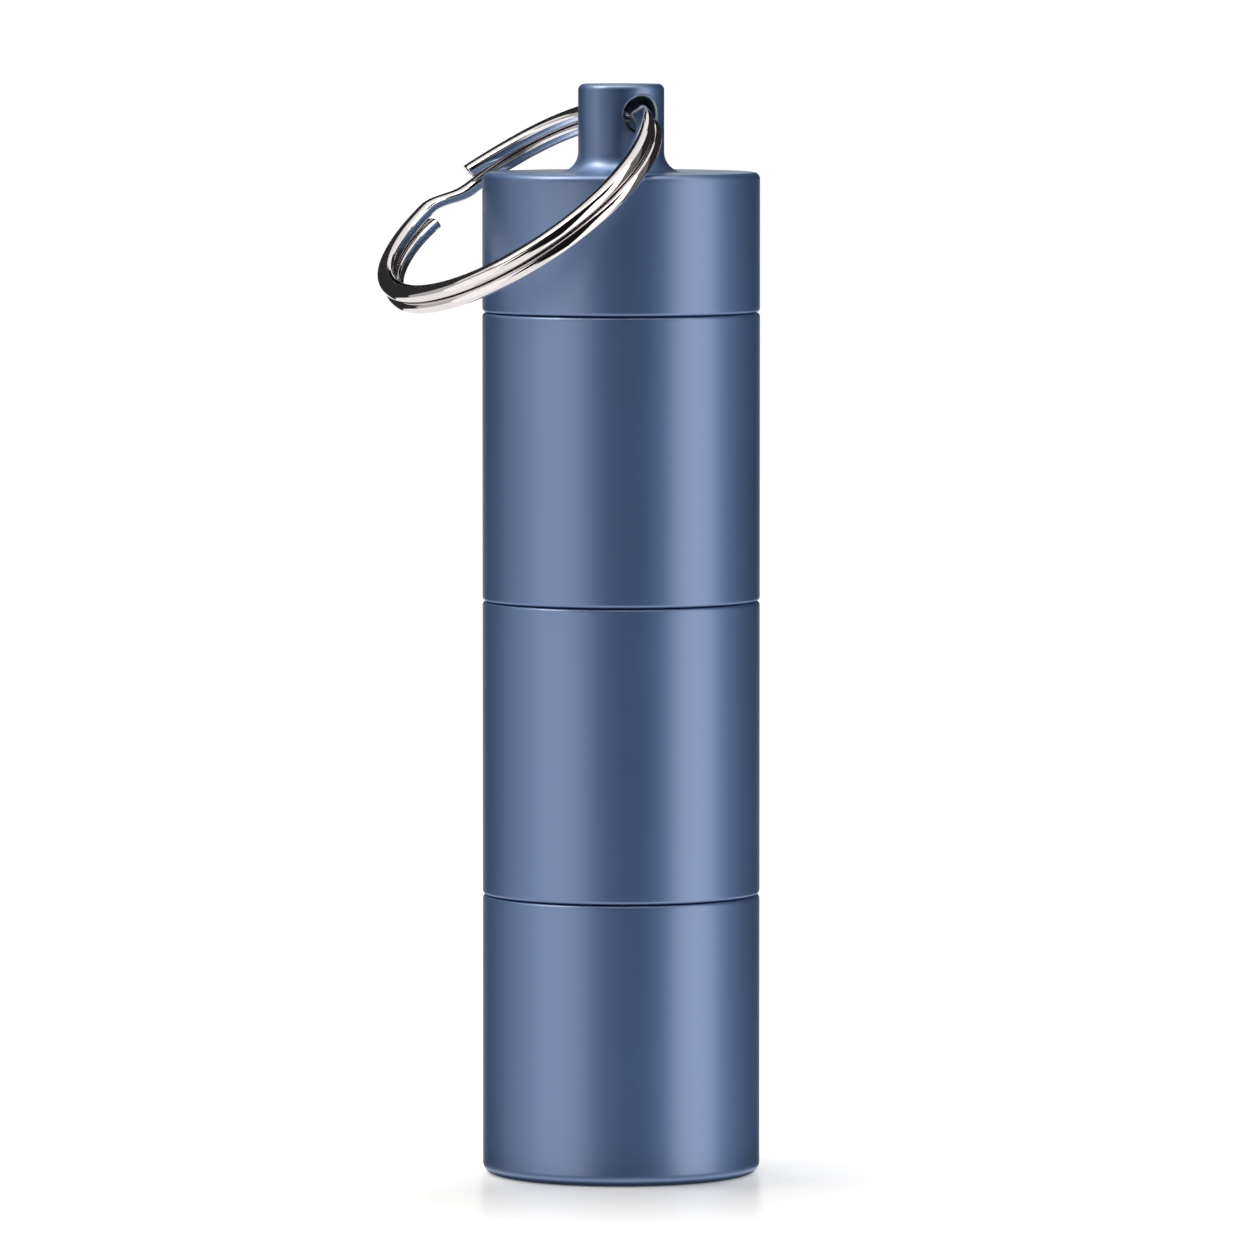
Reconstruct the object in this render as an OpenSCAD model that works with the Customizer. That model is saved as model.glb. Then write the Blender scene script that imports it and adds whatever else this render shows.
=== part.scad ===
// Stackable pill box: three round aluminium chambers that screw into each other, a screw lid with a
// drilled knob, a rubber ring in every joint and a split ring through the knob.
// The origin is the centre of the base, and the stack stands along +Z.

/* [Body] */
// Outside diameter of the chambers and the lid
body_d = 20; // [18:0.5:30]
// Visible height of the bottom chamber
bottom_h = 20.2; // [14:0.1:40]
// Visible height of the middle chamber
middle_h = 21.2; // [14:0.1:40]
// Visible height of the top chamber
top_h = 20.8; // [14:0.1:40]
// Thickness of the bottom chamber's floor
base_t = 1.6; // [1:0.1:3]
// Thickness of the floor between a socket and the chamber above it
deck_t = 1.4; // [1:0.1:3]
// Radius of the rounded edge under the bottom chamber
base_edge_r = 0.85; // [0.3:0.05:1.4]
// Radius in the corner at the bottom of each chamber
cavity_corner_r = 0.8; // [0.2:0.1:2]
// Chamfer on the edges that meet at a seam
seam_chamfer = 0.15; // [0.05:0.01:0.3]
// Gap left between two pieces at a seam
seam_gap = 0.05; // [0.02:0.01:0.1]

/* [Screw joint] */
// Height of a chamber's neck above its shoulder
neck_h = 5.5; // [4.5:0.1:8]
// Thickness of the neck's wall
neck_wall = 1.1; // [0.9:0.05:1.5]
// Chamfer on the outer edge of the neck's rim
neck_chamfer = 0.35; // [0.1:0.05:0.5]
// Chamfer on the inner edge of the neck's rim
mouth_chamfer = 0.2; // [0.1:0.05:0.4]
// Thickness of the wall round a socket's mouth
socket_wall = 1.4; // [1.2:0.05:2]
// Room above the neck at the end of the socket
socket_end_gap = 0.5; // [0.3:0.1:1.5]
// Height gained in one turn of the thread
thread_pitch = 1.5; // [1.3:0.05:1.8]
// Height of the thread's ridge above the neck
thread_h = 0.5; // [0.3:0.05:0.55]
// Width of the ridge where it leaves the neck
thread_root_w = 1.0; // [0.8:0.05:1.05]
// Width of the ridge's crest
thread_crest_w = 0.4; // [0.2:0.05:0.5]
// Gap between the ridge and the thread that it runs in, on every side
thread_gap = 0.1; // [0.06:0.01:0.12]
// Gap between the ridge's crest and the plain mouth of the socket
mouth_gap = 0.2; // [0.15:0.01:0.4]
// Plain height between the seal's groove and the lowest turn of the ridge
thread_land = 0.3; // [0.2:0.1:1]

/* [Seals] */
// Thickness of a seal ring's round section
seal_t = 1.0; // [0.8:0.05:1.1]
// Gap between a seal and the mouth of the socket round it
seal_gap = 0.08; // [0.05:0.01:0.15]
// Gap between a seal and its groove
seal_play = 0.05; // [0.02:0.01:0.1]
// Height of the groove
groove_h = 1.25; // [1.2:0.05:1.6]

/* [Lid] */
// Visible height of the lid below its knob
lid_h = 10.1; // [9.5:0.1:20]
// Radius of the rounded edge round the lid's top
lid_edge_r = 0.5; // [0.2:0.05:1.5]
// Thickness of the lid's top plate
lid_top_t = 1.8; // [1.2:0.1:2.2]
// Diameter of the knob
knob_d = 6.2; // [5.4:0.1:8]
// Height of the knob above the lid
knob_h = 6.35; // [6:0.05:9]
// Radius of the hollow curve that joins the knob to the lid
knob_flare_r = 1.45; // [0.5:0.05:2]
// Radius of the rounded edge on top of the knob
knob_edge_r = 0.45; // [0.1:0.05:0.8]
// Height of the hole's axis above the lid
hole_rise = 4.15; // [3.9:0.05:5]
// Turn of the hole about the knob, to the right of straight ahead
hole_turn = 30.5; // [0:0.5:60]

/* [Key ring] */
// Diameter of the wire's own circle, at the middle of its width
ring_d = 21.7; // [20:0.1:30]
// Width of the wire, along the ring's radius
wire_w = 1.4; // [1:0.05:1.6]
// Thickness of the wire, along the ring's axis
wire_t = 0.9; // [0.6:0.05:1.1]
// Flat that takes off each corner of the wire
wire_corner = 0.28; // [0.1:0.01:0.29]
// Gap between the two coils
coil_gap = 0.1; // [0.05:0.01:0.2]
// How far each free end springs away from the other coil
end_lift = 0.15; // [0:0.01:0.3]
// Gap between the ring and the lid's edge that it leans on
ring_rest_gap = 0.18; // [0.1:0.01:0.3]
// Gap between the ring and the wall of the hole in the knob
ring_hole_gap = 0.2; // [0.1:0.01:0.3]

/* [Hidden] */

// Faces on a full circle, facets on one turn of a thread and points on a quarter of a rounded edge
$fn = 96;
turn_facets = 36;
edge_points = 8;
// How far a cut runs past the face that it opens, and how deep a ridge is rooted in its wall
overrun = 0.2;
root_sink = 0.1;

// Heights of the seams and of the lid's top
bottom_top_z = bottom_h;
middle_top_z = bottom_top_z + middle_h;
top_top_z = middle_top_z + top_h;
lid_top_z = top_top_z + lid_h;
knob_top_z = lid_top_z + knob_h;

// Radii of the screw joint, from the outside in
body_r = body_d / 2;
socket_r = body_r - socket_wall;
crest_r = socket_r - mouth_gap;
neck_r = crest_r - thread_h;
cavity_r = neck_r - neck_wall;
seal_r = socket_r - seal_gap - seal_t / 2;
groove_r = seal_r - seal_t / 2 - seal_play;
thread_bore_r = neck_r + thread_gap;
thread_groove_r = crest_r + thread_gap;

// Heights of the screw joint above a shoulder
thread_start = groove_h + thread_land + thread_root_w / 2;
thread_turns = (neck_h - neck_chamfer - thread_root_w / 2 - thread_start) / thread_pitch;
thread_lead_turns = 1;
thread_tail_turns = 1 / 4;
socket_h = neck_h + socket_end_gap;
mouth_h = groove_h + thread_land / 2;

// The wire of the key ring
ring_r = ring_d / 2;
coil_pitch = wire_t + coil_gap;
knob_r = knob_d / 2;
hole_z = lid_top_z + hole_rise;
// The ring is curved, so inside the straight hole it stands off the hole's axis by half of its rise
ring_rise = ring_r - sqrt(pow(ring_r, 2) - pow(knob_r, 2));
ring_set = ring_r - ring_rise / 2;
wire_outline = [
    [wire_w / 2, wire_t / 2 - wire_corner], [wire_w / 2 - wire_corner, wire_t / 2],
    [wire_corner - wire_w / 2, wire_t / 2], [-wire_w / 2, wire_t / 2 - wire_corner],
    [-wire_w / 2, wire_corner - wire_t / 2], [wire_corner - wire_w / 2, -wire_t / 2],
    [wire_w / 2 - wire_corner, -wire_t / 2], [wire_w / 2, wire_corner - wire_t / 2]];
// The hole takes the farthest corner of the two coils, with its gap
hole_r = ring_hole_gap + max([for (p = wire_outline)
    norm([abs(p[0]) + ring_rise / 2, abs(p[1]) + coil_pitch / 2])]);

// Angles along the wire, counted from the hole: the first end, the step down and the second end
wire_first_end = -75.5;
step_start = 262;
step_end = 281;
wire_last_end = 621;
// How much of the wire, from each end, springs away
lift_span = 22;
// Rings of points along one coil and along the step
coil_steps = 66;
step_steps = 8;

// Directions of the hole's axis towards the front, and square to it on the side where the ring lies
hole_dir = [sin(hole_turn), -cos(hole_turn), 0];
side_dir = [-cos(hole_turn), -sin(hole_turn), 0];
up_dir = [0, 0, 1];

// Points on an arc, for outlines
function arc(centre, r, from, to) =
    [for (i = [0:edge_points]) centre + r * [cos(from + (to - from) * i / edge_points),
                                            sin(from + (to - from) * i / edge_points)]];

// A point of the ring at an angle from the hole, with the ring leaning down by lean
function ring_point(angle, lean, across, along) =
    let (down = side_dir * cos(lean) - up_dir * sin(lean),
         normal = side_dir * sin(lean) + up_dir * cos(lean),
         r = ring_r + across)
    up_dir * hole_z + down * (ring_set - r * cos(angle)) + hole_dir * r * sin(angle) + normal * along;

// How far a point lies outside the lid's rounded top edge
function edge_distance(p) =
    let (out = norm([p[0], p[1]]) - body_r + lid_edge_r,
         above = p[2] - lid_top_z + lid_edge_r)
    out > 0 && above > 0 ? norm([out, above]) - lid_edge_r : max(out, above) - lid_edge_r;

// The gap that a lean leaves between the ring and the lid, and the lean that leaves the gap asked for
function lean_gap(lean) = min([for (angle = [20:2:110], p = wire_outline, side = [-1, 1])
    edge_distance(ring_point(angle, lean, p[0], p[1] + side * coil_pitch / 2))]);
function lean_for(gap, low, high, tries) =
    let (mid = (low + high) / 2)
    tries == 0 ? mid
        : lean_gap(mid) > gap ? lean_for(gap, mid, high, tries - 1) : lean_for(gap, low, mid, tries - 1);
ring_lean = lean_for(ring_rest_gap, 0, 80, 12);

// Height of the wire's middle above the ring's middle plane: upper coil, step, lower coil
function smooth(x) = let (k = max(0, min(1, x))) k * k * (3 - 2 * k);
function wire_along(angle) =
    coil_pitch * (1 / 2 - smooth((angle - step_start) / (step_end - step_start)))
    + end_lift * pow(max(0, 1 - (angle - wire_first_end) / lift_span), 2)
    - end_lift * pow(max(0, 1 - (wire_last_end - angle) / lift_span), 2);
wire_angles = concat(
    [for (i = [0:coil_steps - 1]) wire_first_end + (step_start - wire_first_end) * i / coil_steps],
    [for (i = [0:step_steps - 1]) step_start + (step_end - step_start) * i / step_steps],
    [for (i = [0:coil_steps]) step_end + (wire_last_end - step_end) * i / coil_steps]);

// One ring of points of a thread's ridge. Its height runs out over the last quarter turn at each end.
function thread_ring(turn, turns, base_r, tip_r, base_w, tip_w, z) =
    let (full = max(1 / 5, min(1, turn * 4, (turns - turn) * 4)),
         r = base_r + (tip_r - base_r) * full,
         mid = z + thread_pitch * turn,
         angle = turn * 360)
    [for (p = [[base_r, -base_w / 2], [r, -tip_w / 2], [r, tip_w / 2], [base_r, base_w / 2]])
        [p[0] * cos(angle), p[0] * sin(angle), mid + p[1]]];

// Faces that join rings of points with the given count of sides, closed at both ends
function tube_faces(rings, sides) = concat(
    [[for (k = [sides - 1:-1:0]) k]],
    [for (i = [0:rings - 2], k = [0:sides - 1])
        let (a = i * sides + k, b = i * sides + (k + 1) % sides)
        each [[a, b, b + sides], [a, b + sides, a + sides]]],
    [[for (k = [0:sides - 1]) (rings - 1) * sides + k]]);

// A thread's ridge that winds up round the axis from height z
module thread_ridge(turns, base_r, tip_r, base_w, tip_w, z) {
    count = round(turns * turn_facets);
    points = [for (i = [0:count])
        each thread_ring(turns * i / count, turns, base_r, tip_r, base_w, tip_w, z)];
    polyhedron(points, tube_faces(count + 1, 4));
}

// The neck with its thread and the groove for its seal, standing on a shoulder at height z
module neck(z) {
    translate([0, 0, z]) {
        rotate_extrude() polygon([
            [0, -overrun], [groove_r, -overrun], [groove_r, groove_h], [neck_r, groove_h],
            [neck_r, neck_h - neck_chamfer], [neck_r - neck_chamfer, neck_h], [0, neck_h]]);
        thread_ridge(thread_turns, neck_r - root_sink, crest_r, thread_root_w, thread_crest_w,
            thread_start);
    }
}

// The space that a socket cuts into the piece above, whose rim is at height z
module socket(z) {
    translate([0, 0, z]) {
        rotate_extrude() polygon([
            [0, -overrun], [socket_r + seam_chamfer + overrun, -overrun],
            [socket_r + seam_chamfer + overrun, 0], [socket_r + seam_chamfer, 0],
            [socket_r, seam_chamfer], [socket_r, mouth_h],
            [thread_bore_r, mouth_h + socket_r - thread_bore_r], [thread_bore_r, socket_h], [0, socket_h]]);
        thread_ridge(thread_turns + thread_lead_turns + thread_tail_turns, thread_bore_r - root_sink,
            thread_groove_r, thread_root_w + 2 * thread_gap, thread_crest_w + 2 * thread_gap,
            thread_start - seam_gap - thread_lead_turns * thread_pitch);
    }
}

// The space inside a chamber, from its floor up through its neck's rim
module cavity(floor_z, rim_z) {
    rotate_extrude() polygon(concat(
        [[0, floor_z]],
        arc([cavity_r - cavity_corner_r, floor_z + cavity_corner_r], cavity_corner_r, -90, 0),
        [[cavity_r, rim_z - mouth_chamfer], [cavity_r + mouth_chamfer, rim_z],
         [cavity_r + mouth_chamfer, rim_z + overrun], [0, rim_z + overrun]]));
}

// A chamber's plain outside between its lower rim and its shoulder
module sleeve(from_z, to_z) {
    rotate_extrude() polygon([
        [0, from_z], [body_r - seam_chamfer, from_z], [body_r, from_z + seam_chamfer],
        [body_r, to_z - seam_chamfer], [body_r - seam_chamfer, to_z], [0, to_z]]);
}

// A chamber that screws onto the one below it
module stacked_chamber(from_z, to_z) {
    rim_z = from_z + seam_gap;
    difference() {
        union() {
            sleeve(rim_z, to_z);
            neck(to_z);
        }
        socket(rim_z);
        cavity(rim_z + socket_h + deck_t, to_z + neck_h);
    }
}

module bottom_chamber() {
    color([0.31, 0.42, 0.57])
    difference() {
        union() {
            rotate_extrude() polygon(concat(
                [[0, 0]],
                arc([body_r - base_edge_r, base_edge_r], base_edge_r, -90, 0),
                [[body_r, bottom_top_z - seam_chamfer], [body_r - seam_chamfer, bottom_top_z],
                 [0, bottom_top_z]]));
            neck(bottom_top_z);
        }
        cavity(base_t, bottom_top_z + neck_h);
    }
}

module middle_chamber() {
    color([0.33, 0.44, 0.60]) stacked_chamber(bottom_top_z, middle_top_z);
}

module top_chamber() {
    color([0.35, 0.46, 0.62]) stacked_chamber(middle_top_z, top_top_z);
}

// A rubber ring in the groove above a shoulder
module seal(shoulder_z) {
    color([0.08, 0.08, 0.09])
    translate([0, 0, shoulder_z + seal_play + seal_t / 2])
    rotate_extrude() translate([seal_r, 0]) circle(d = seal_t);
}

module bottom_seal() {
    seal(bottom_top_z);
}

module middle_seal() {
    seal(middle_top_z);
}

module top_seal() {
    seal(top_top_z);
}

module lid() {
    rim_z = top_top_z + seam_gap;
    color([0.37, 0.48, 0.64])
    difference() {
        rotate_extrude() polygon(concat(
            [[0, rim_z], [body_r - seam_chamfer, rim_z], [body_r, rim_z + seam_chamfer]],
            arc([body_r - lid_edge_r, lid_top_z - lid_edge_r], lid_edge_r, 0, 90),
            arc([knob_r + knob_flare_r, lid_top_z + knob_flare_r], knob_flare_r, -90, -180),
            arc([knob_r - knob_edge_r, knob_top_z - knob_edge_r], knob_edge_r, 0, 90),
            [[0, knob_top_z]]));
        socket(rim_z);
        cylinder(r = cavity_r, h = lid_top_z - lid_top_t);
        translate([0, 0, hole_z]) rotate([90, 0, hole_turn]) cylinder(r = hole_r, h = body_d, center = true);
    }
}

module key_ring() {
    points = [for (angle = wire_angles, p = wire_outline)
        ring_point(angle, ring_lean, p[0], p[1] + wire_along(angle))];
    color([0.78, 0.77, 0.76]) polyhedron(points, tube_faces(len(wire_angles), len(wire_outline)));
}

bottom_chamber();
bottom_seal();
middle_chamber();
middle_seal();
top_chamber();
top_seal();
lid();
key_ring();
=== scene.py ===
"""A stackable pill box of blue anodised aluminium: three chambers, a lid with a knob, and a split ring."""

import math

import bmesh
import bpy
from mathutils import Matrix, Vector


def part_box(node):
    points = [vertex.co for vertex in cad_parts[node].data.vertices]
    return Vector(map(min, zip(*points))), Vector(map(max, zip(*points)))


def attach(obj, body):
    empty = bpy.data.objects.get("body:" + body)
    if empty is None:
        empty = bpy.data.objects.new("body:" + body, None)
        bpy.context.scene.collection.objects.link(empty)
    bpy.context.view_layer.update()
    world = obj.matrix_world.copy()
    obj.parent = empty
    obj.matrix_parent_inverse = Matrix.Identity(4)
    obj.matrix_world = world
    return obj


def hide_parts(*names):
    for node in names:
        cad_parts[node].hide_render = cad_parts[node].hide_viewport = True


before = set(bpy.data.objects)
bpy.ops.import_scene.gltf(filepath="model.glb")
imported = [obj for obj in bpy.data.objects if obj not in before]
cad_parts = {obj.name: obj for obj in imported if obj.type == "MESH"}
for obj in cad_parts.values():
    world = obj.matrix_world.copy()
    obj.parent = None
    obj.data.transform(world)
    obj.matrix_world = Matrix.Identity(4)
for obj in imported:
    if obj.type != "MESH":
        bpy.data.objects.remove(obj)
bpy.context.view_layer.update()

# Units, and how close a point has to be to a place to be picked there
MM = 0.001
NEAR = 0.003 * MM

# Fineness: sides of a full circle of each kind, and steps in one turn of a thread or of the wire
SIDES = 192
HOLE_SIDES = 96
SEAL_SIDES = 32
WIRE_SIDES = 48
THREAD_STEPS = 96
WIRE_STEPS = 216

# The least angle between two faces that shows as an edge, on turned metal and on the rest
METAL_EDGE = math.radians(31)
SOFT_EDGE = math.radians(40)

# What the frame gives
BODY_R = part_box("bottom_chamber")[1].x
SEAM_GAP = 0.05 * MM
STACK = ("bottom_chamber", "middle_chamber", "top_chamber", "lid")
RIM = {name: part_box(name)[0].z for name in STACK}
SHOULDER = {lower: RIM[upper] - SEAM_GAP for lower, upper in zip(STACK, STACK[1:])}
NECK_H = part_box("bottom_chamber")[1].z - SHOULDER["bottom_chamber"]
KNOB_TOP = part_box("lid")[1].z

# The chambers
BASE_T = 1.6 * MM
DECK_T = 1.4 * MM
BASE_ROUND = 0.85 * MM
FLOOR_ROUND = 0.8 * MM
SEAM_ROUND = 0.28 * MM

# The screw joint
SOCKET_R = BODY_R - 1.4 * MM
CREST_R = SOCKET_R - 0.2 * MM
NECK_R = CREST_R - 0.5 * MM
CAVITY_R = NECK_R - 1.1 * MM
GROOVE_R = 7.47 * MM
GROOVE_H = 1.25 * MM
NECK_ROUND = 0.35 * MM
MOUTH_ROUND = 0.2 * MM
THREAD_PITCH = 1.5 * MM
THREAD_START = 2.05 * MM
THREAD_TURNS = 1.7333
THREAD_ROOT_W = 1.0 * MM
THREAD_CREST_W = 0.4 * MM
THREAD_GAP = 0.1 * MM
THREAD_SINK = 0.1 * MM
THREAD_FADE = 1 / 4
THREAD_LEAST = 1 / 5
SOCKET_H = NECK_H + 0.5 * MM
SOCKET_MOUTH_H = 1.4 * MM
SOCKET_LEAD_TURNS = 1
SOCKET_TAIL_TURNS = 1 / 4
BORE_R = NECK_R + THREAD_GAP

# The lid and its knob
KNOB_H = 6.35 * MM
LID_TOP = KNOB_TOP - KNOB_H
LID_TOP_T = 1.8 * MM
LID_ROUND = 0.5 * MM
KNOB_R = 3.1 * MM
KNOB_ROUND = 0.45 * MM
FLARE_R = 1.45 * MM
HOLE_Z = LID_TOP + 4.15 * MM
HOLE_R = 1.349 * MM
HOLE_TURN = math.radians(30.5)
HOLE_LIP = 0.3 * MM
LIP_ANGLES = (math.radians(18), math.radians(36), math.radians(52))

# The seals
SEAL_FLASH_W = 0.09 * MM
SEAL_FLASH_H = 0.02 * MM

# The split ring: its wire, its place and the angles along it, in degrees from the hole
RING_R = 10.85 * MM
WIRE_W = 1.39 * MM
WIRE_T = 0.94 * MM
WIRE_SQUARENESS = 2.8
WIRE_END_ROUND = 0.07 * MM
COIL_PITCH = 1.0 * MM
END_LIFT = 0.15 * MM
LIFT_SPAN = 22
RING_SET = 10.6239 * MM
RING_LEAN = math.radians(37.2168)
FIRST_END = -75.5
STEP_START = 262
STEP_END = 281
LAST_END = 621

# The studio: the height it is set up round, how far its lights and cards are off, and the tone from above
MIDDLE_Z = 40 * MM
LIGHT_AWAY = 0.45
BACKING_AWAY = 0.7
CARD_AWAY = 0.6
HIGH_CARD_AWAY = 0.62
ROUND_CARD_SIDES = 96
WARM = (1.0, 0.93, 0.82)

# The camera
CAMERA_TARGET = Vector((0.42 * MM, 0, 39.5 * MM))
CAMERA_ELEVATION = math.radians(3.8)
CAMERA_AWAY = 799 * MM
CAMERA_LENS = 318


def nothing_selected():
    """Leaves edit mode and deselects every object, those of the frame among them."""
    if bpy.context.object and bpy.context.object.mode != "OBJECT":
        bpy.ops.object.mode_set(mode="OBJECT")
    bpy.ops.object.select_all(action="DESELECT")


def work_on(piece, edit=True):
    """Makes a piece the only selected and active object, in edit mode if asked."""
    nothing_selected()
    piece.select_set(True)
    bpy.context.view_layer.objects.active = piece
    if edit:
        bpy.ops.object.mode_set(mode="EDIT")


def apply_place(piece):
    """Puts the piece's place into its mesh and leaves its object at the origin."""
    work_on(piece, edit=False)
    bpy.ops.object.transform_apply(location=True, rotation=True, scale=True)


def pick_faces(piece, wanted):
    """In edit mode, selects only the faces whose middle is wanted."""
    bpy.ops.mesh.select_mode(type="FACE")
    bpy.ops.mesh.select_all(action="DESELECT")
    mesh = bmesh.from_edit_mesh(piece.data)
    for face in mesh.faces:
        face.select_set(wanted(face.calc_center_median()))
    bmesh.update_edit_mesh(piece.data)


def pick_edges(piece, wanted):
    """In edit mode, selects only the edges whose two ends are both wanted."""
    bpy.ops.mesh.select_mode(type="EDGE")
    bpy.ops.mesh.select_all(action="DESELECT")
    mesh = bmesh.from_edit_mesh(piece.data)
    for edge in mesh.edges:
        edge.select_set(all(wanted(vert.co) for vert in edge.verts))
    bmesh.update_edit_mesh(piece.data)


def bar_stock(name, radius, low, high):
    """A piece of round bar, which a turned piece starts from."""
    nothing_selected()
    bpy.ops.mesh.primitive_cylinder_add(
        vertices=SIDES, radius=radius, depth=high - low, location=(0, 0, (low + high) / 2))
    piece = bpy.context.object
    piece.name = piece.data.name = name
    apply_place(piece)
    return piece


def turn_end(piece, radius, height, outline):
    """Cuts or raises one end of a bar along an outline of (radius, height), towards its axis."""
    work_on(piece)
    pick_faces(piece, lambda p: math.hypot(p.x, p.y) < NEAR and abs(p.z - height) < NEAR)
    for new_radius, new_height in outline:
        bpy.ops.mesh.extrude_region_move(TRANSFORM_OT_translate={"value": (0, 0, new_height - height)})
        share = new_radius / radius
        bpy.ops.transform.resize(value=(share, share, 1), center_override=(0, 0, new_height))
        radius, height = new_radius, new_height


def round_edge(piece, radius, height, size, segments):
    """Rounds the circular edge at this radius and height."""
    work_on(piece)
    pick_edges(piece, lambda p: abs(math.hypot(p.x, p.y) - radius) < NEAR and abs(p.z - height) < NEAR)
    bpy.ops.mesh.bevel(offset=size, offset_type="OFFSET", segments=segments, profile=0.5,
                       affect="EDGES", clamp_overlap=False)


def turn_neck(piece, shoulder, floor):
    """Turns the neck on a shoulder, with its seal's groove, and bores the chamber down to its floor."""
    rim = shoulder + NECK_H
    turn_end(piece, BODY_R, shoulder, [
        (GROOVE_R, shoulder), (GROOVE_R, shoulder + GROOVE_H), (NECK_R, shoulder + GROOVE_H),
        (NECK_R, rim), (CAVITY_R, rim), (CAVITY_R, floor)])
    round_edge(piece, BODY_R, shoulder, SEAM_ROUND, 6)
    round_edge(piece, NECK_R, shoulder + GROOVE_H, MOUTH_ROUND / 2, 2)
    round_edge(piece, NECK_R, rim, NECK_ROUND, 3)
    round_edge(piece, CAVITY_R, rim, MOUTH_ROUND, 3)
    round_edge(piece, CAVITY_R, floor, FLOOR_ROUND, 8)


def turn_socket(piece, rim, inside=()):
    """Bores the socket that takes the neck below, from the rim up, and what more lies inside it."""
    turn_end(piece, BODY_R, rim, [
        (SOCKET_R, rim), (SOCKET_R, rim + SOCKET_MOUTH_H),
        (BORE_R, rim + SOCKET_MOUTH_H + SOCKET_R - BORE_R), (BORE_R, rim + SOCKET_H), *inside])
    round_edge(piece, BODY_R, rim, SEAM_ROUND, 6)
    round_edge(piece, SOCKET_R, rim, SEAM_ROUND, 4)


def wind_thread(name, root_r, crest_r, root_w, crest_w, start, turns):
    """A thread's ridge: its section is extruded round and up, and runs out small at both ends."""
    nothing_selected()
    bpy.ops.mesh.primitive_plane_add(size=1, location=((root_r + crest_r) / 2, 0, start),
                                     rotation=(math.pi / 2, 0, 0))
    ridge = bpy.context.object
    ridge.name = ridge.data.name = name
    ridge.scale = (crest_r - root_r, root_w, 1)
    apply_place(ridge)
    work_on(ridge)
    pick_edges(ridge, lambda p: abs(p.x - crest_r) < NEAR)
    bpy.ops.transform.resize(value=(1, 1, crest_w / root_w), center_override=(crest_r, 0, start))
    bpy.ops.mesh.select_mode(type="FACE")
    bpy.ops.mesh.select_all(action="SELECT")
    count = round(turns * THREAD_STEPS)
    rise = turns * THREAD_PITCH / count
    step = turns * 2 * math.pi / count
    size = THREAD_LEAST
    bpy.ops.transform.resize(value=(size, size, size), center_override=(root_r, 0, start))
    for i in range(1, count + 1):
        gone = turns * i / count
        new_size = max(THREAD_LEAST, min(1, gone / THREAD_FADE, (turns - gone) / THREAD_FADE))
        bpy.ops.mesh.extrude_region_move(TRANSFORM_OT_translate={"value": (0, 0, rise)})
        bpy.ops.transform.rotate(value=-step, orient_axis="Z", center_override=(0, 0, 0))
        if new_size != size:
            root = (root_r * math.cos(step * i), root_r * math.sin(step * i), start + rise * i)
            share = new_size / size
            bpy.ops.transform.resize(value=(share, share, share), center_override=root)
        size = new_size
    bpy.ops.mesh.select_all(action="SELECT")
    bpy.ops.mesh.normals_make_consistent(inside=False)
    nothing_selected()
    return ridge


def copy_up(piece, height):
    """A copy of a piece with its own mesh, moved up."""
    work_on(piece, edit=False)
    bpy.ops.object.duplicate()
    copied = bpy.context.object
    copied.location.z = height
    apply_place(copied)
    return copied


def combine(piece, tool, operation):
    """Welds a tool's shape to a piece or cuts it out of it, and removes the tool."""
    work_on(piece, edit=False)
    modifier = piece.modifiers.new("combine", "BOOLEAN")
    modifier.operation = operation
    modifier.solver = "EXACT"
    modifier.object = tool
    bpy.ops.object.modifier_apply(modifier=modifier.name)
    bpy.data.objects.remove(tool)


def finish_metal(piece):
    """Smooths a turned piece's round faces and keeps its flats and walls true."""
    work_on(piece, edit=False)
    bpy.ops.object.shade_smooth_by_angle(angle=METAL_EDGE)
    weights = piece.modifiers.new("weights", "WEIGHTED_NORMAL")
    weights.keep_sharp = True
    weights.weight = 100
    bpy.ops.object.modifier_apply(modifier=weights.name)


def make_bottom_chamber(neck_thread):
    """The bottom chamber: a cup with a rounded foot and a threaded neck."""
    shoulder = SHOULDER["bottom_chamber"]
    piece = bar_stock("bottom_chamber_turned", BODY_R, 0, shoulder)
    turn_neck(piece, shoulder, BASE_T)
    round_edge(piece, BODY_R, 0, BASE_ROUND, 12)
    combine(piece, copy_up(neck_thread, shoulder), "UNION")
    finish_metal(piece)
    return piece


def make_stacked_chamber(name, neck_thread, socket_thread):
    """A middle or top chamber: a socket below, a deck, and a cup with a threaded neck above."""
    rim, shoulder = RIM[name], SHOULDER[name]
    piece = bar_stock(name + "_turned", BODY_R, rim, shoulder)
    turn_neck(piece, shoulder, rim + SOCKET_H + DECK_T)
    turn_socket(piece, rim)
    combine(piece, copy_up(neck_thread, shoulder), "UNION")
    combine(piece, copy_up(socket_thread, rim), "DIFFERENCE")
    finish_metal(piece)
    return piece


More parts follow.
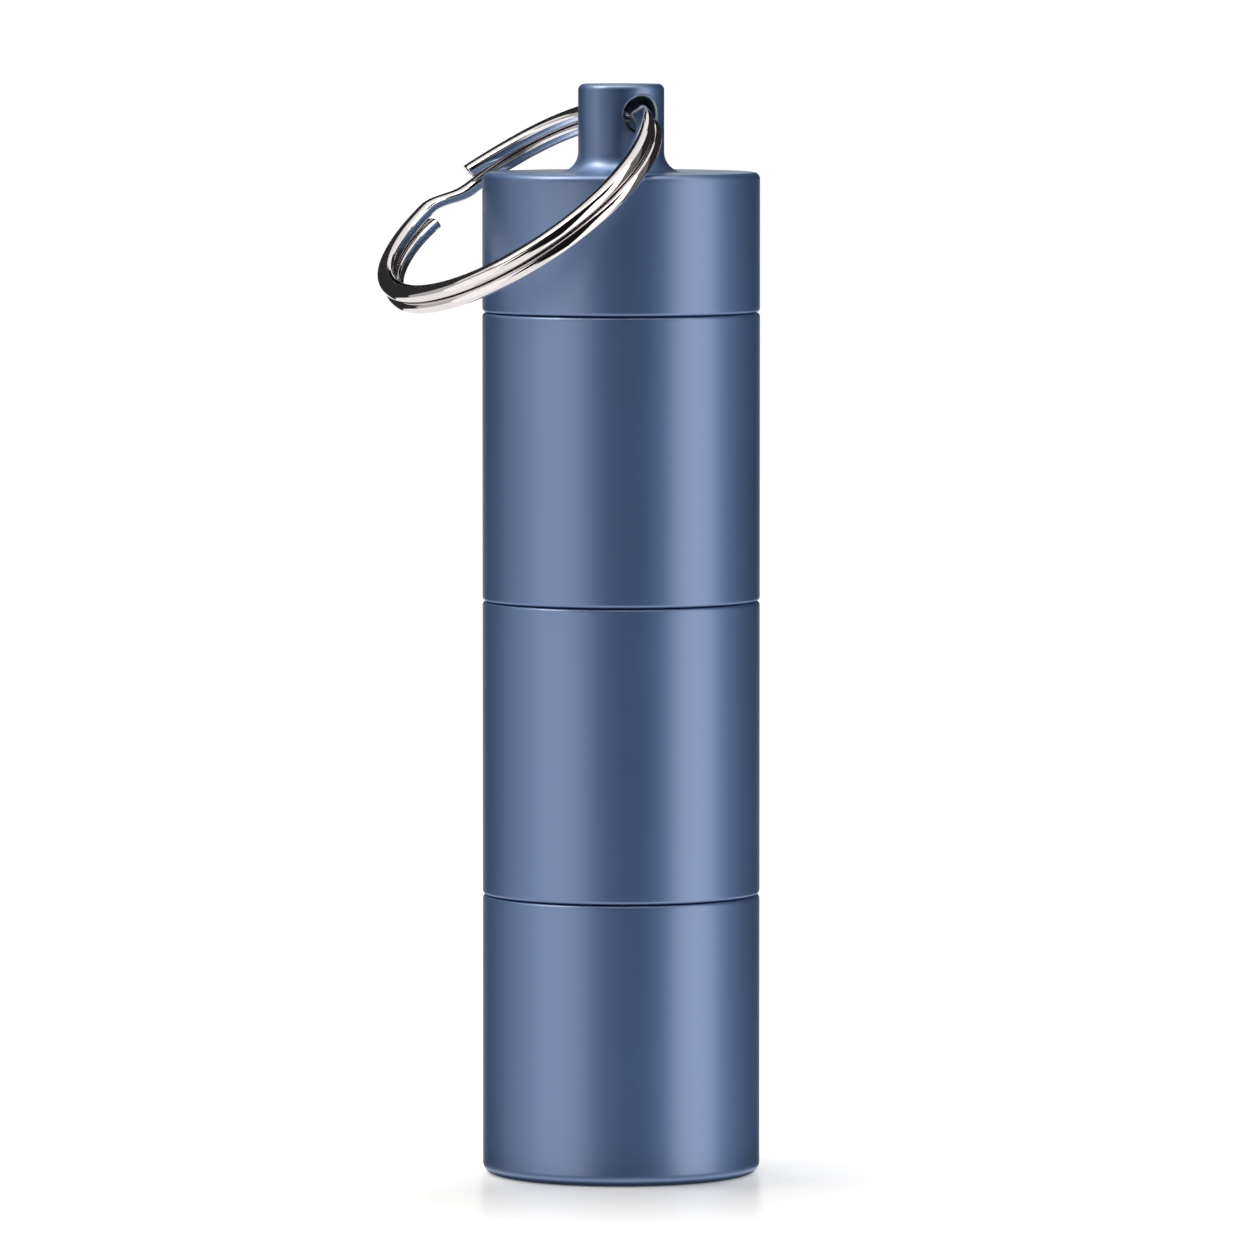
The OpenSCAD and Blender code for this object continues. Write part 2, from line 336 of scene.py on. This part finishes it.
def knob_drill():
    """The tool that bores the knob's cross hole, with lips that open out along the knob's round wall."""
    nothing_selected()
    inner = KNOB_R - HOLE_LIP
    bpy.ops.mesh.primitive_cylinder_add(
        vertices=HOLE_SIDES, radius=HOLE_R, depth=2 * inner, rotation=(math.pi / 2, 0, 0))
    drill = bpy.context.object
    apply_place(drill)
    lip = [(HOLE_R + HOLE_LIP * (1 - math.cos(a)), inner + HOLE_LIP * math.sin(a)) for a in LIP_ANGLES]
    lip.append((lip[-1][0] + HOLE_LIP, lip[-1][1] + HOLE_LIP))
    for side in (-1, 1):
        work_on(drill)
        pick_faces(drill, lambda p: abs(p.y - side * inner) < NEAR)
        radius, reach = HOLE_R, inner
        for new_radius, new_reach in lip:
            bpy.ops.mesh.extrude_region_move(
                TRANSFORM_OT_translate={"value": (0, side * (new_reach - reach), 0)})
            share = new_radius / radius
            bpy.ops.transform.resize(value=(share, 1, share), center_override=(0, side * new_reach, 0))
            radius, reach = new_radius, new_reach
    nothing_selected()
    for vert in drill.data.vertices:
        sag = KNOB_R - math.sqrt(KNOB_R ** 2 - vert.co.x ** 2)
        vert.co.y -= math.copysign(sag, vert.co.y)
    drill.rotation_euler.z = HOLE_TURN
    drill.location.z = HOLE_Z
    apply_place(drill)
    return drill


def make_lid(socket_thread):
    """The lid: a threaded cap with a flared knob and a hole across it, turned from one bar."""
    rim = RIM["lid"]
    piece = bar_stock("lid_turned", BODY_R, rim, LID_TOP)
    turn_end(piece, BODY_R, LID_TOP, [(KNOB_R, LID_TOP), (KNOB_R, KNOB_TOP)])
    round_edge(piece, BODY_R, LID_TOP, LID_ROUND, 8)
    round_edge(piece, KNOB_R, LID_TOP, FLARE_R, 20)
    round_edge(piece, KNOB_R, KNOB_TOP, KNOB_ROUND, 8)
    turn_socket(piece, rim, [(CAVITY_R, rim + SOCKET_H), (CAVITY_R, LID_TOP - LID_TOP_T)])
    round_edge(piece, CAVITY_R, LID_TOP - LID_TOP_T, FLOOR_ROUND / 2, 5)
    combine(piece, copy_up(socket_thread, rim), "DIFFERENCE")
    combine(piece, knob_drill(), "DIFFERENCE")
    finish_metal(piece)
    return piece


def make_seal(name):
    """A rubber ring of round section, with the fine line round it where its mould parts."""
    low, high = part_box(name)
    thick = high.z - low.z
    ring_r = high.x - thick / 2
    middle = (low.z + high.z) / 2
    nothing_selected()
    bpy.ops.mesh.primitive_torus_add(
        location=(0, 0, middle), major_radius=ring_r, minor_radius=thick / 2 - SEAL_FLASH_H,
        major_segments=SIDES, minor_segments=SEAL_SIDES)
    seal = bpy.context.object
    seal.name = seal.data.name = name + "_moulded"
    apply_place(seal)
    for side in (-1, 1):
        edge_r = ring_r + side * (thick / 2 - SEAL_FLASH_H)
        work_on(seal)
        pick_edges(seal, lambda p: abs(math.hypot(p.x, p.y) - edge_r) < NEAR and abs(p.z - middle) < NEAR)
        bpy.ops.mesh.bevel(offset=SEAL_FLASH_W / 2, segments=2, affect="EDGES")
        pick_edges(seal, lambda p: abs(p.z - middle) < NEAR and side * (math.hypot(p.x, p.y) - ring_r) > 0)
        share = (edge_r + side * SEAL_FLASH_H) / edge_r
        bpy.ops.transform.resize(value=(share, share, 1), center_override=(0, 0, middle))
    work_on(seal, edit=False)
    bpy.ops.object.shade_smooth_by_angle(angle=SOFT_EDGE)
    return seal


def smooth_step(x):
    """Rises from 0 to 1 with level ends."""
    x = max(0, min(1, x))
    return x * x * (3 - 2 * x)


def wire_height(angle):
    """Height of the wire's middle over the ring's middle plane: upper coil, step, lower coil."""
    height = COIL_PITCH * (1 / 2 - smooth_step((angle - STEP_START) / (STEP_END - STEP_START)))
    height += END_LIFT * max(0, 1 - (angle - FIRST_END) / LIFT_SPAN) ** 2
    return height - END_LIFT * max(0, 1 - (LAST_END - angle) / LIFT_SPAN) ** 2


def ring_place():
    """The matrix that takes the ring from its own axes to where it hangs in the knob's hole."""
    hole = Vector((math.sin(HOLE_TURN), -math.cos(HOLE_TURN), 0))
    side = Vector((-math.cos(HOLE_TURN), -math.sin(HOLE_TURN), 0))
    down = side * math.cos(RING_LEAN) - Vector((0, 0, 1)) * math.sin(RING_LEAN)
    centre = Vector((0, 0, HOLE_Z)) + down * RING_SET
    axes = Matrix((-down, hole, (-down).cross(hole))).transposed().to_4x4()
    return Matrix.Translation(centre) @ axes


def make_key_ring():
    """The split ring: one flattened wire wound twice round, with a step between coils and two cut ends."""
    nothing_selected()
    bpy.ops.mesh.primitive_circle_add(vertices=WIRE_SIDES, radius=1, fill_type="NGON")
    wire = bpy.context.object
    wire.name = wire.data.name = "key_ring_wire"
    for vert in wire.data.vertices:
        for axis, size in ((0, WIRE_W), (1, WIRE_T)):
            share = abs(vert.co[axis]) ** (2 / WIRE_SQUARENESS)
            vert.co[axis] = math.copysign(share * size / 2, vert.co[axis])
    wire.rotation_euler.x = math.pi / 2
    wire.location = (RING_R, 0, -wire_height(FIRST_END))
    apply_place(wire)
    work_on(wire)
    bpy.ops.mesh.select_mode(type="FACE")
    bpy.ops.mesh.select_all(action="SELECT")
    bpy.ops.transform.rotate(value=-math.radians(FIRST_END), orient_axis="Z", center_override=(0, 0, 0))
    count = round((LAST_END - FIRST_END) * WIRE_STEPS / 360)
    step = (LAST_END - FIRST_END) / count
    for i in range(count):
        angle = FIRST_END + step * i
        fall = wire_height(angle) - wire_height(angle + step)
        bpy.ops.mesh.extrude_region_move(TRANSFORM_OT_translate={"value": (0, 0, fall)})
        bpy.ops.transform.rotate(value=-math.radians(step), orient_axis="Z", center_override=(0, 0, 0))
    bpy.ops.mesh.select_all(action="SELECT")
    bpy.ops.mesh.normals_make_consistent(inside=False)
    bpy.ops.mesh.select_mode(type="FACE")
    bpy.ops.mesh.select_all(action="DESELECT")
    mesh = bmesh.from_edit_mesh(wire.data)
    for face in mesh.faces:
        face.select_set(len(face.verts) > 4)
    bmesh.update_edit_mesh(wire.data)
    bpy.ops.mesh.region_to_loop()
    bpy.ops.mesh.bevel(offset=WIRE_END_ROUND, segments=3, affect="EDGES")
    nothing_selected()
    wire.matrix_world = ring_place()
    apply_place(wire)
    bpy.ops.object.shade_smooth_by_angle(angle=SOFT_EDGE)
    return wire


class Shader:
    """A material's node tree, with short ways to add nodes and join them."""

    def __init__(self, name):
        self.material = bpy.data.materials.new(name)
        self.material.use_nodes = True
        self.nodes = self.material.node_tree.nodes
        self.links = self.material.node_tree.links
        self.surface = self.nodes["Principled BSDF"]
        self.place = self.add("ShaderNodeTexCoord").outputs["Object"]

    def add(self, kind, **values):
        node = self.nodes.new(kind)
        for key, value in values.items():
            if key in node.inputs:
                node.inputs[key].default_value = value
            else:
                setattr(node, key, value)
        return node

    def join(self, output, target):
        self.links.new(output, target)

    def noise(self, vector, scale, detail=3.0, roughness=0.55):
        node = self.add("ShaderNodeTexNoise", Scale=scale, Detail=detail, Roughness=roughness)
        self.join(vector, node.inputs["Vector"])
        return node.outputs["Fac"]

    def sums(self, operation, first, second):
        node = self.add("ShaderNodeMath", operation=operation)
        for i, value in enumerate((first, second)):
            if isinstance(value, (int, float)):
                node.inputs[i].default_value = value
            else:
                self.join(value, node.inputs[i])
        return node.outputs[0]

    def span(self, value, low, high, from_low=0.0, from_high=1.0):
        node = self.add("ShaderNodeMapRange")
        self.join(value, node.inputs["Value"])
        limits = {"From Min": from_low, "From Max": from_high, "To Min": low, "To Max": high}
        for key, number in limits.items():
            node.inputs[key].default_value = number
        return node.outputs["Result"]

    def blend(self, share, first, second):
        node = self.add("ShaderNodeMix", data_type="RGBA")
        self.join(share, node.inputs["Factor"])
        for key, colour in (("A", first), ("B", second)):
            socket = [s for s in node.inputs if s.name == key and s.type == "RGBA"][0]
            socket.default_value = (*colour, 1)
        return [s for s in node.outputs if s.type == "RGBA"][0]

    def tint(self, share, colour_output, colour):
        """Takes this share of the way from a colour output to a plain colour."""
        node = self.add("ShaderNodeMix", data_type="RGBA")
        first, second = [s for s in node.inputs if s.type == "RGBA"]
        self.join(share, node.inputs["Factor"])
        self.join(colour_output, first)
        second.default_value = (*colour, 1)
        return [s for s in node.outputs if s.type == "RGBA"][0]

    def bump(self, height, depth, strength=1.0):
        node = self.add("ShaderNodeBump", Strength=strength, Distance=depth)
        self.join(height, node.inputs["Height"])
        self.join(node.outputs["Normal"], self.surface.inputs["Normal"])

    def set(self, **values):
        for key, value in values.items():
            self.surface.inputs[key.replace("_", " ").title().replace("Ior", "IOR")].default_value = value

    def turned_place(self):
        """A point as (radius, height, a little of the angle): marks drawn in it run round the axis."""
        split = self.add("ShaderNodeSeparateXYZ")
        self.join(self.place, split.inputs[0])
        x, y, z = split.outputs
        squares = self.sums("ADD", self.sums("MULTIPLY", x, x), self.sums("MULTIPLY", y, y))
        radius = self.sums("SQRT", squares, 0)
        angle = self.sums("MULTIPLY", self.sums("ARCTAN2", y, x), MM)
        joined = self.add("ShaderNodeCombineXYZ")
        for value, socket in zip((radius, z, angle), joined.inputs):
            self.join(value, socket)
        return joined.outputs[0]


def painted_lip_highlight(look):
    """A value that is 1 on the lips of the knob's hole and 0 elsewhere, where a lighter metal colour is
    painted on as a highlight.
    """
    away, across, length = (look.add("ShaderNodeVectorMath", operation=kind)
                            for kind in ("SUBTRACT", "CROSS_PRODUCT", "LENGTH"))
    look.join(look.place, away.inputs[0])
    away.inputs[1].default_value = (0, 0, HOLE_Z)
    look.join(away.outputs["Vector"], across.inputs[0])
    across.inputs[1].default_value = (math.sin(HOLE_TURN), -math.cos(HOLE_TURN), 0)
    look.join(across.outputs["Vector"], length.inputs[0])
    distance = length.outputs["Value"]
    starts = look.span(distance, 0, 1, HOLE_R + 0.003 * MM, HOLE_R + 0.015 * MM)
    return look.sums("MULTIPLY", starts, look.span(distance, 1, 0, HOLE_R + 0.1 * MM, HOLE_R + 0.16 * MM))


def anodised_aluminium():
    """Satin blue anodised aluminium: a blue metal under a clear hard skin, with faint turning marks and a
    painted highlight on the lips of the knob's hole.
    """
    look = Shader("anodised_aluminium")
    look.set(metallic=1.0, coat_weight=0.65, coat_roughness=0.35, coat_ior=2.5)
    depth = look.noise(look.place, 90, 3.0)
    grain = look.noise(look.place, 5200, 2.0)
    marks = look.noise(look.turned_place(), 9000, 2.0)
    tone = look.sums("ADD", look.sums("MULTIPLY", depth, 0.7), look.sums("MULTIPLY", grain, 0.3))
    blue = look.blend(look.span(tone, 0, 1, 0.35, 0.65), (0.083, 0.178, 0.379), (0.089, 0.188, 0.397))
    # Painted highlight: the lips of the knob's hole are tinted a pale blue-white.
    look.join(look.tint(painted_lip_highlight(look), blue, (0.72, 0.8, 0.9)), look.surface.inputs["Base Color"])
    look.join(look.span(depth, 0.54, 0.57, 0.3, 0.7), look.surface.inputs["Roughness"])
    look.bump(look.sums("ADD", marks, grain), 0.004 * MM, 0.15)
    return look.material


def ring_steel():
    """Bright nickel plate on the ring's wire, with drawing marks and fine scuffs."""
    look = Shader("ring_steel")
    look.set(metallic=1.0)
    cloud = look.noise(look.place, 240, 3.0)
    scuffs = look.noise(look.place, 2600, 5.0, 0.7)
    look.join(look.blend(look.span(cloud, 0, 1, 0.3, 0.7), (0.78, 0.73, 0.725), (0.83, 0.785, 0.78)),
              look.surface.inputs["Base Color"])
    look.join(look.span(scuffs, 0.03, 0.09, 0.35, 0.75), look.surface.inputs["Roughness"])
    look.bump(cloud, 0.02 * MM, 0.15)
    return look.material


def seal_rubber():
    """Matt black rubber with a fine moulded grain and a trace of dust."""
    look = Shader("seal_rubber")
    look.set(specular_ior_level=0.35)
    grain = look.noise(look.place, 6000, 3.0)
    dust = look.noise(look.place, 700, 4.0, 0.7)
    look.join(look.blend(look.span(dust, 0, 1, 0.45, 0.75), (0.012, 0.012, 0.013), (0.03, 0.03, 0.031)),
              look.surface.inputs["Base Color"])
    look.join(look.span(grain, 0.55, 0.75), look.surface.inputs["Roughness"])
    look.bump(grain, 0.01 * MM, 0.3)
    return look.material


def dress(piece, material, body, node):
    """Gives a piece its material and its body, and hides the frame's solid that it stands for."""
    piece.data.materials.clear()
    piece.data.materials.append(material)
    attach(piece, body)
    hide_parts(node)


def make_pieces():
    """Makes the eight pieces of the box."""
    neck_thread = wind_thread("neck_thread", NECK_R - THREAD_SINK, CREST_R, THREAD_ROOT_W, THREAD_CREST_W,
                              THREAD_START, THREAD_TURNS)
    socket_thread = wind_thread(
        "socket_thread", BORE_R - THREAD_SINK, CREST_R + THREAD_GAP, THREAD_ROOT_W + 2 * THREAD_GAP,
        THREAD_CREST_W + 2 * THREAD_GAP, THREAD_START - SEAM_GAP - SOCKET_LEAD_TURNS * THREAD_PITCH,
        THREAD_TURNS + SOCKET_LEAD_TURNS + SOCKET_TAIL_TURNS)
    metal, steel, rubber = anodised_aluminium(), ring_steel(), seal_rubber()
    turned = {
        "bottom_chamber": make_bottom_chamber(neck_thread),
        "middle_chamber": make_stacked_chamber("middle_chamber", neck_thread, socket_thread),
        "top_chamber": make_stacked_chamber("top_chamber", neck_thread, socket_thread),
        "lid": make_lid(socket_thread),
    }
    for tool in (neck_thread, socket_thread):
        bpy.data.objects.remove(tool)
    for node, piece in turned.items():
        dress(piece, metal, node, node)
    for node in ("bottom_seal", "middle_seal", "top_seal"):
        dress(make_seal(node), rubber, node, node)
    dress(make_key_ring(), steel, "key_ring", "key_ring")


def is_background_ray(nodes, links):
    """A value that is 1 for rays that should find the white background: seen, mirrored or passed through."""
    path = nodes.new("ShaderNodeLightPath")
    total = path.outputs["Is Camera Ray"]
    for name in ("Is Glossy Ray", "Is Transmission Ray"):
        node = nodes.new("ShaderNodeMath")
        node.operation = "MAXIMUM"
        links.new(total, node.inputs[0])
        links.new(path.outputs[name], node.inputs[1])
        total = node.outputs[0]
    return total


def make_world(ambient):
    """A white background, and a weaker even light for what it falls on."""
    world = bpy.data.worlds.new("studio")
    bpy.context.scene.world = world
    world.use_nodes = True
    nodes, links = world.node_tree.nodes, world.node_tree.links
    nodes.clear()
    soft, white = nodes.new("ShaderNodeBackground"), nodes.new("ShaderNodeBackground")
    soft.inputs["Color"].default_value = white.inputs["Color"].default_value = (1, 1, 1, 1)
    soft.inputs["Strength"].default_value = ambient
    mix, out = nodes.new("ShaderNodeMixShader"), nodes.new("ShaderNodeOutputWorld")
    links.new(is_background_ray(nodes, links), mix.inputs[0])
    links.new(soft.outputs[0], mix.inputs[1])
    links.new(white.outputs[0], mix.inputs[2])
    links.new(mix.outputs[0], out.inputs["Surface"])


def distance_from(look, centre):
    """The distance of the floor from a point on it."""
    away, length = (look.add("ShaderNodeVectorMath", operation=kind) for kind in ("SUBTRACT", "LENGTH"))
    look.join(look.place, away.inputs[0])
    away.inputs[1].default_value = centre
    look.join(away.outputs["Vector"], length.inputs[0])
    return length.outputs["Value"]


def painted_floor_glow(look, before_foot, levels):
    """Light painted onto the floor where the lamps don't reach, given as (distance from a point before the
    foot, strength): weak close before the foot as a painted shade, and strong round it, where it washes out
    the box's shadow.
    """
    ramp = look.add("ShaderNodeValToRGB")
    ramp.color_ramp.interpolation = "B_SPLINE"
    points = ramp.color_ramp.elements
    while len(points) < len(levels):
        points.new(1)
    for point, (distance, level) in zip(points, levels):
        point.position = distance
        point.color = (level, level, level, 1)
    look.join(before_foot, ramp.inputs["Fac"])
    light = look.add("ShaderNodeEmission")
    background = is_background_ray(look.nodes, look.links)
    look.join(look.sums("MULTIPLY", background, ramp.outputs["Color"]), light.inputs["Strength"])
    return light.outputs[0]


def make_floor(size, colour, glow, gloss, gloss_reach):
    """A pale floor that takes the box's shadow, partly washed out by a painted glow, and mirrors its foot
    softly in a round place before it, where the glow is kept weak as a painted shade.
    """
    nothing_selected()
    bpy.ops.mesh.primitive_plane_add(size=size)
    floor = bpy.context.object
    floor.name = "floor"
    look = Shader("pale_floor")
    look.nodes.remove(look.surface)
    before_foot = distance_from(look, (0, -2 * BODY_R, 0))
    near = look.span(distance_from(look, (0, 0, 0)), gloss, 0, BODY_R, gloss_reach)
    fade_start, fade_end = 1.3 * BODY_R, 2.4 * BODY_R
    in_place = look.span(before_foot, 1, 0, fade_start, fade_end)
    matt = look.add("ShaderNodeBsdfDiffuse", Color=(*colour, 1))
    mirror = look.add("ShaderNodeBsdfAnisotropic", distribution="MULTI_GGX", Roughness=0.3)
    mirror.inputs["Color"].default_value = (1, 1, 1, 1)
    both, mix = look.add("ShaderNodeAddShader"), look.add("ShaderNodeMixShader")
    look.join(matt.outputs[0], both.inputs[0])
    look.join(painted_floor_glow(look, before_foot, glow), both.inputs[1])
    look.join(look.sums("MULTIPLY", near, in_place), mix.inputs[0])
    look.join(both.outputs[0], mix.inputs[1])
    look.join(mirror.outputs[0], mix.inputs[2])
    look.join(mix.outputs[0], look.nodes["Material Output"].inputs["Surface"])
    floor.data.materials.append(look.material)
    floor.visible_glossy = floor.visible_shadow = False


def round_the_box(azimuth, distance, height):
    """A point at this distance from the box's axis. Azimuth 0 is towards the camera, 90 to the right."""
    a = math.radians(azimuth)
    return Vector((math.sin(a) * distance, -math.cos(a) * distance, height))


def height_at(elevation, distance):
    """The height that the box's middle sees at this elevation, this far away."""
    return MIDDLE_Z + distance * math.tan(math.radians(elevation))


def soft_light(name, azimuth, half_angle, elevations, distance, radiance):
    """An upright soft light that covers this stretch round the box, and faces it."""
    low, high = (height_at(elevation, distance) for elevation in elevations)
    width = 2 * distance * math.tan(math.radians(half_angle))
    data = bpy.data.lights.new(name, "AREA")
    data.shape = "RECTANGLE"
    data.size, data.size_y = width, high - low
    data.energy = radiance * math.pi * width * (high - low)
    lamp = bpy.data.objects.new(name, data)
    bpy.context.scene.collection.objects.link(lamp)
    lamp.location = round_the_box(azimuth, distance, (low + high) / 2)
    lamp.rotation_euler = (math.pi / 2, 0, math.radians(azimuth))
    lamp.visible_camera = False


def shine(piece, grey, tone=(1, 1, 1)):
    """Makes a card show this grey, in a tone if given, in reflections only."""
    material = bpy.data.materials.new(piece.name)
    material.use_nodes = True
    material.node_tree.nodes.clear()
    light = material.node_tree.nodes.new("ShaderNodeEmission")
    light.inputs["Color"].default_value = (*tone, 1)
    light.inputs["Strength"].default_value = grey
    out = material.node_tree.nodes.new("ShaderNodeOutputMaterial")
    material.node_tree.links.new(light.outputs[0], out.inputs["Surface"])
    piece.data.materials.append(material)
    piece.visible_camera = piece.visible_diffuse = piece.visible_shadow = False


def card(name, azimuths, elevations, distance, grey):
    """An upright card that covers this stretch round the box."""
    low, high = (height_at(elevation, distance) for elevation in elevations)
    azimuth, half_angle = sum(azimuths) / 2, (azimuths[1] - azimuths[0]) / 2
    nothing_selected()
    bpy.ops.mesh.primitive_plane_add(size=1, rotation=(math.pi / 2, 0, math.radians(azimuth)))
    piece = bpy.context.object
    piece.name = name
    piece.scale = (2 * distance * math.tan(math.radians(half_angle)), high - low, 1)
    piece.location = round_the_box(azimuth, distance, (low + high) / 2)
    shine(piece, grey)
    return piece


def overhead_card(name, width, reach, height, grey):
    """A level card over the box that reaches from one y to another."""
    nothing_selected()
    bpy.ops.mesh.primitive_plane_add(size=1, location=(0, sum(reach) / 2, height))
    piece = bpy.context.object
    piece.name = name
    piece.scale = (width, reach[1] - reach[0], 1)
    shine(piece, grey, WARM)


def foot_shade(name, radius, depth, grey):
    """A round card just below the floor, glowing in this grey, for the foot's rounding to mirror as painted
    light and shade.
    """
    nothing_selected()
    bpy.ops.mesh.primitive_circle_add(
        vertices=ROUND_CARD_SIDES, radius=radius, fill_type="NGON", location=(0, 0, -depth))
    bpy.context.object.name = name
    shine(bpy.context.object, grey)


def top_light(name, azimuth, elevation, distance, size, radiance):
    """A square soft light that looks down at the box."""
    data = bpy.data.lights.new(name, "AREA")
    data.size = size
    data.color = WARM
    data.energy = radiance * math.pi * size ** 2
    lamp = bpy.data.objects.new(name, data)
    bpy.context.scene.collection.objects.link(lamp)
    a = math.radians(elevation)
    lamp.location = round_the_box(azimuth, distance * math.cos(a), MIDDLE_Z + distance * math.sin(a))
    lamp.rotation_euler = (Vector((0, 0, MIDDLE_Z)) - lamp.location).to_track_quat("-Z", "Y").to_euler()
    lamp.visible_camera = False


def make_lights():
    """The upright soft lights on both sides, each in a low and a high part."""
    soft_light("left_soft_light", -52, 25.5, (-50, 27), LIGHT_AWAY, 0.84)
    soft_light("left_upper_light", -70.5, 7, (27, 55), LIGHT_AWAY, 0.8)
    soft_light("right_soft_light", 63.2, 20, (-50, 22), LIGHT_AWAY, 1.46)
    soft_light("right_upper_light", 69.6, 13.6, (22, 55), LIGHT_AWAY, 1.42)


def make_cards():
    """The cards that the metal mirrors: grey at the sides, dark in front and behind, one bright high up."""
    card("left_light_backing", (-77.5, -26.5), (-50, 28), BACKING_AWAY, 0.3)
    card("right_light_backing", (43.2, 83.2), (-50, 23), BACKING_AWAY, 0.3)
    card("left_front_card", (-27.5, 4), (-21, 68), CARD_AWAY, 0.012)
    card("right_front_card", (4, 44.2), (-30, 68), CARD_AWAY, 0.008)
    card("left_front_high_card", (-63.5, -27.5), (27, 64), HIGH_CARD_AWAY, 0.008)
    card("right_front_high_card", (44.2, 56), (22, 60), HIGH_CARD_AWAY, 0.008)
    card("left_side_card", (-112, -77.5), (-20, 54), CARD_AWAY, 0.5)
    card("right_side_card", (83.2, 112), (-20, 54), CARD_AWAY, 0.16)
    card("left_back_card", (-160, -112), (-20, 40), CARD_AWAY, 0.03)
    card("left_back_edge_card", (-178, -160), (3, 40), CARD_AWAY, 0.005)
    card("right_back_card", (112, 163), (-20, 57), CARD_AWAY, 0.025)
    card("right_back_edge_card", (163, 177), (3, 57), CARD_AWAY, 0.01)
    card("left_back_high_card", (-160, -105), (40, 60), 0.55, 0.9)


def make_studio():
    """The floor, the painted light and shade that the foot mirrors in it, the lights and cards, and a flag
    that shades the knob.
    """
    make_world(ambient=0.75)
    # Painted light and shade on the floor: the glow is weak close before the foot and strong round it.
    near_glow_painted = ((0.003, 0.17), (0.013, 0.18), (0.024, 0.35), (0.035, 0.37))
    far_glow = ((0.1, 0.36), (0.4, 0.33), (0.9, 0.37))
    make_floor(size=30, colour=(0.88, 0.88, 0.88), glow=near_glow_painted + far_glow, gloss=0.5, gloss_reach=42 * MM)
    # Painted light and shade for the foot to mirror: a grey disc, a bright ring within it, and a dark disc
    # under the base as painted contact shade.
    foot_shade("foot_shade", 13 * MM, 0.06 * MM, 0.2)
    foot_shade("foot_light", 10.7 * MM, 0.04 * MM, 1.0)
    foot_shade("foot_contact_painted_shade", 10 * MM, 0.02 * MM, 0.05)
    make_lights()
    make_cards()
    card("knob_flag", (-60, -27), (48, 62), 30 * MM, 0.2).visible_shadow = True
    overhead_card("overhead_card", 0.8, (-0.59, 0.13), 1.5, 3.8)
    top_light("top_soft_light", -88, 57, 0.6, 0.22, 9.5)


def make_camera():
    """The camera, a little above the box's middle and looking slightly down at it."""
    data = bpy.data.cameras.new("camera")
    data.lens = CAMERA_LENS
    data.sensor_width = 36
    camera = bpy.data.objects.new("camera", data)
    bpy.context.scene.collection.objects.link(camera)
    back = Vector((0, -math.cos(CAMERA_ELEVATION), math.sin(CAMERA_ELEVATION)))
    camera.location = CAMERA_TARGET + CAMERA_AWAY * back
    camera.rotation_euler = (-back).to_track_quat("-Z", "Y").to_euler()
    bpy.context.scene.camera = camera


make_camera()
make_pieces()
make_studio()
bpy.context.scene.view_settings.view_transform = "Standard"
nothing_selected()
